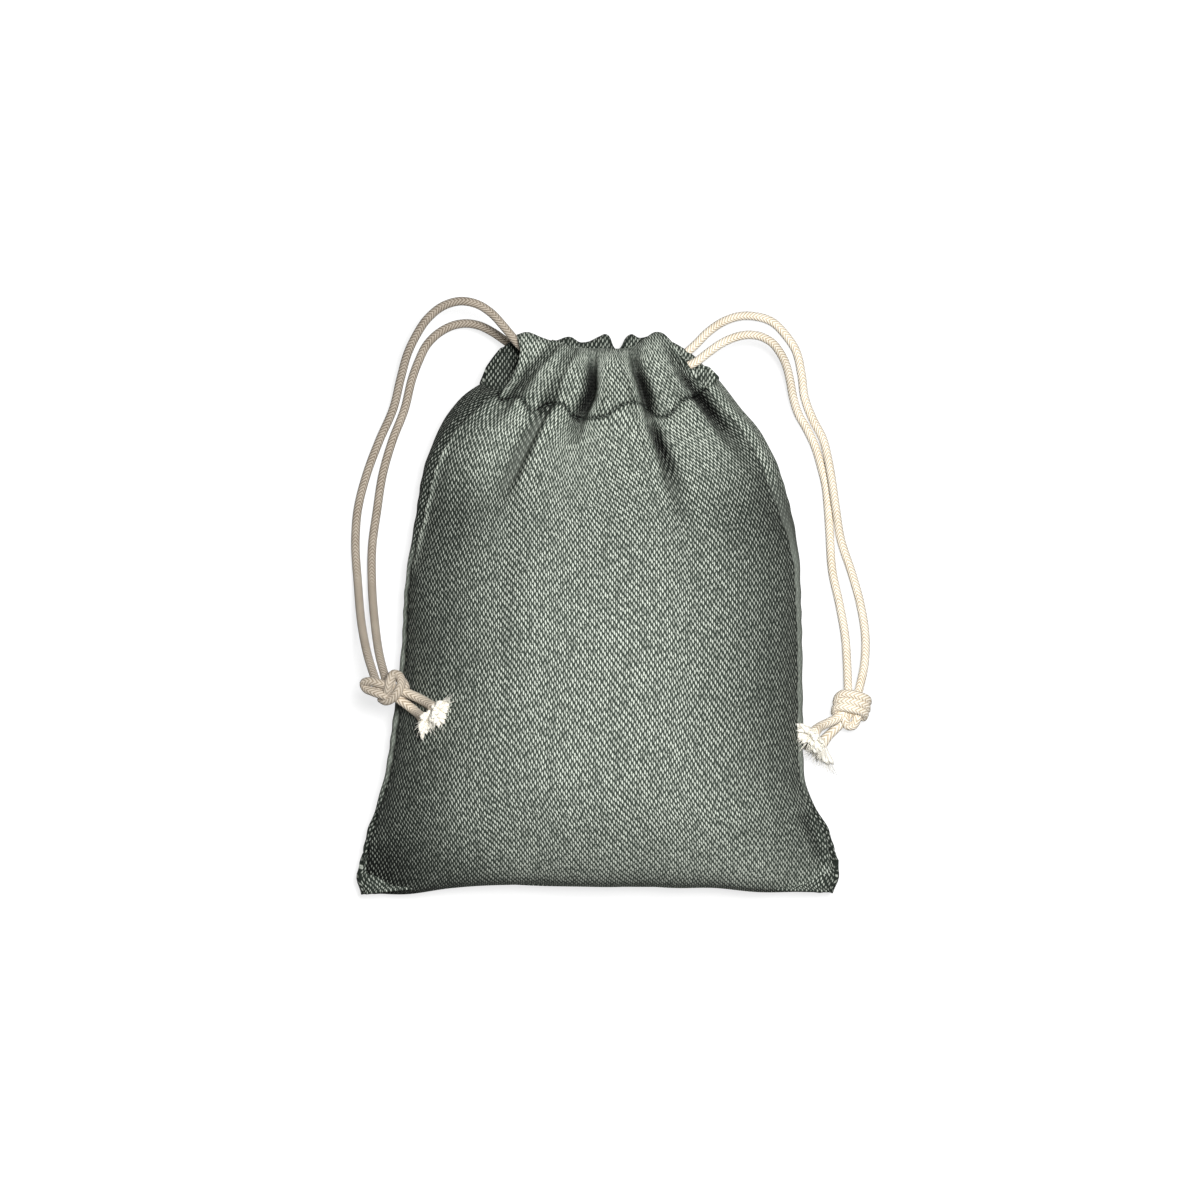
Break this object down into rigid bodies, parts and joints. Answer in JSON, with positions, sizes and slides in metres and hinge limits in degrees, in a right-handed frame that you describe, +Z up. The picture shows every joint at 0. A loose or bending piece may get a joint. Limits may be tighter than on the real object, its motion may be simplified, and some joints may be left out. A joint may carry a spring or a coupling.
{
  "type": "treat pouch",
  "caption": "Drawstring treat pouch in green woven cotton, filled and lying on its back, with gathered casing sleeves at the mouth and knotted cream drawcords that pull out sideways.",
  "frame": {"origin": "middle of the pouch's bounding box, without its free cords, on the surface that it lies on", "axes": "+X to the right across the pouch, +Y from the bottom seam to the mouth, +Z up out of the front"},
  "size_m": [0.1641, 0.1865, 0.0589],
  "materials": {
    "woven_cotton": "plain weave of pale warp over dark grey-green weft, matte",
    "sewing_thread": "spun green thread, matte",
    "cotton_cord": "braided undyed cotton, matte"
  },
  "bodies": {
    "pouch": {"front_panel": "woven_cotton", "back_panel": "woven_cotton", "front_casing": "woven_cotton", "back_casing": "woven_cotton", "left_seam_overlock": "sewing_thread", "right_seam_overlock": "sewing_thread", "bottom_seam_overlock": "sewing_thread", "front_casing_stitching": "sewing_thread", "back_casing_stitching": "sewing_thread", "left_cord_crossing": "cotton_cord", "right_cord_crossing": "cotton_cord"},
    "left_drawcord": {"left_cord_front_strand": "cotton_cord", "left_cord_back_strand": "cotton_cord", "left_cord_knot": "cotton_cord", "left_cord_upper_tail": "cotton_cord", "left_cord_lower_tail": "cotton_cord"},
    "right_drawcord": {"right_cord_front_strand": "cotton_cord", "right_cord_back_strand": "cotton_cord", "right_cord_knot": "cotton_cord", "right_cord_upper_tail": "cotton_cord", "right_cord_lower_tail": "cotton_cord"}
  },
  "joints": [
    {"name": "left_cord_pull", "type": "slide", "parent": "pouch", "child": "left_drawcord", "axis": [-1, 0, 0], "range_m": [0, 0.03]},
    {"name": "right_cord_pull", "type": "slide", "parent": "pouch", "child": "right_drawcord", "axis": [1, 0, 0], "range_m": [0, 0.03]}
  ]
}
